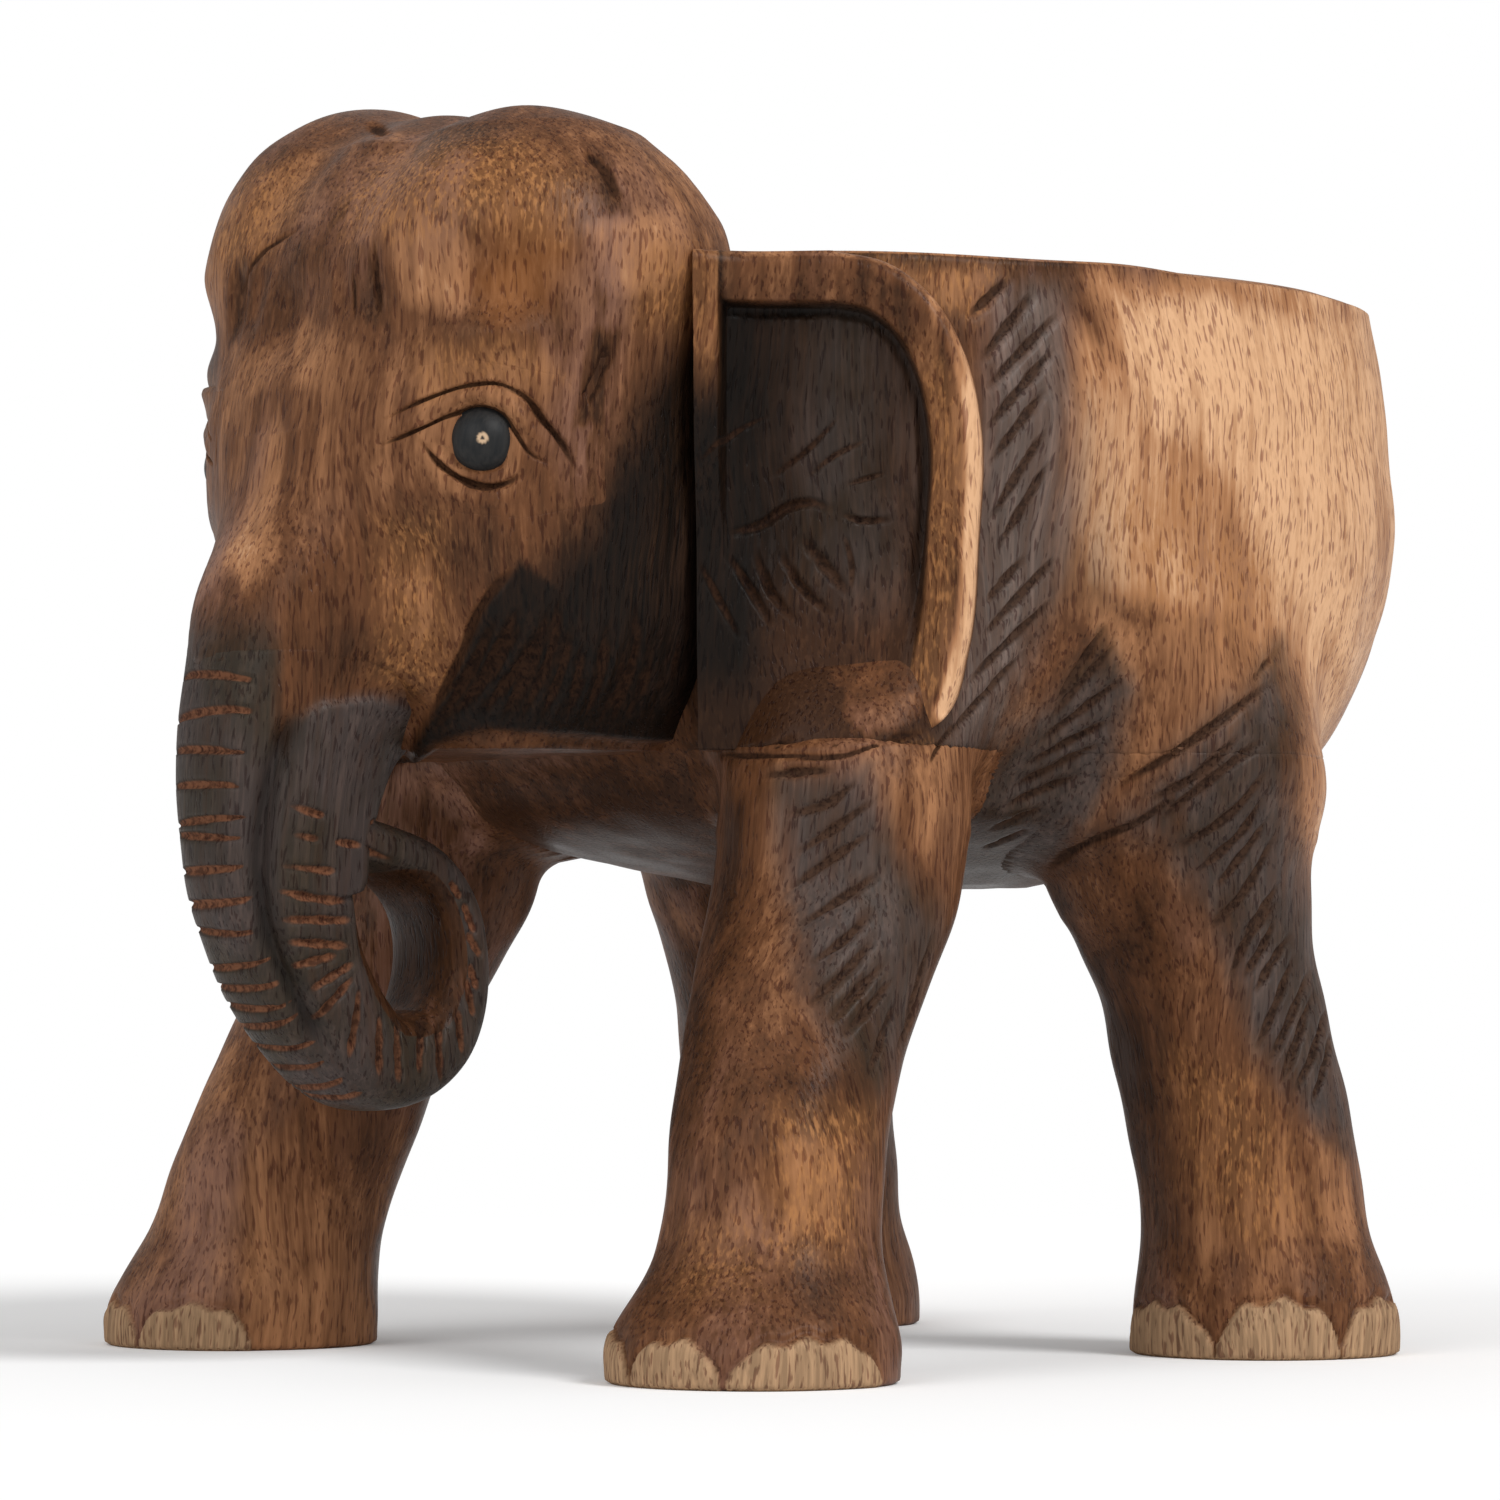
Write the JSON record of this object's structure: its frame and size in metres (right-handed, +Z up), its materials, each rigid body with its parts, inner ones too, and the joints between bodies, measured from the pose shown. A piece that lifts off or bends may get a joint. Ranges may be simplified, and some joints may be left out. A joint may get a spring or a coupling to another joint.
{
  "type": "carved elephant stool",
  "caption": "Low wooden stool carved as a standing elephant, with a dished seat on its back, a domed head, spread hollowed ears and a curled trunk.",
  "frame": {"origin": "on the floor, midway along and across the whole stool", "axes": "+Z up, -Y the way the elephant faces, +X its left side"},
  "size_m": [0.2791, 0.3484, 0.307],
  "materials": {
    "carved_wood": "waxed, semi-gloss, brown with golden patches",
    "stained_wood": "waxed, stained blue-black with bare brown gouges",
    "dowel_wood": "bare, sanded"
  },
  "bodies": {
    "root": {"body": "carved_wood", "front_left_leg": "carved_wood", "front_right_leg": "carved_wood", "rear_left_leg": "carved_wood", "rear_right_leg": "carved_wood", "head": "carved_wood", "left_ear": "carved_wood", "right_ear": "carved_wood", "trunk": "stained_wood", "leg_dowels": "dowel_wood", "neck_dowels": "dowel_wood", "trunk_dowel": "dowel_wood"}
  },
  "joints": []
}
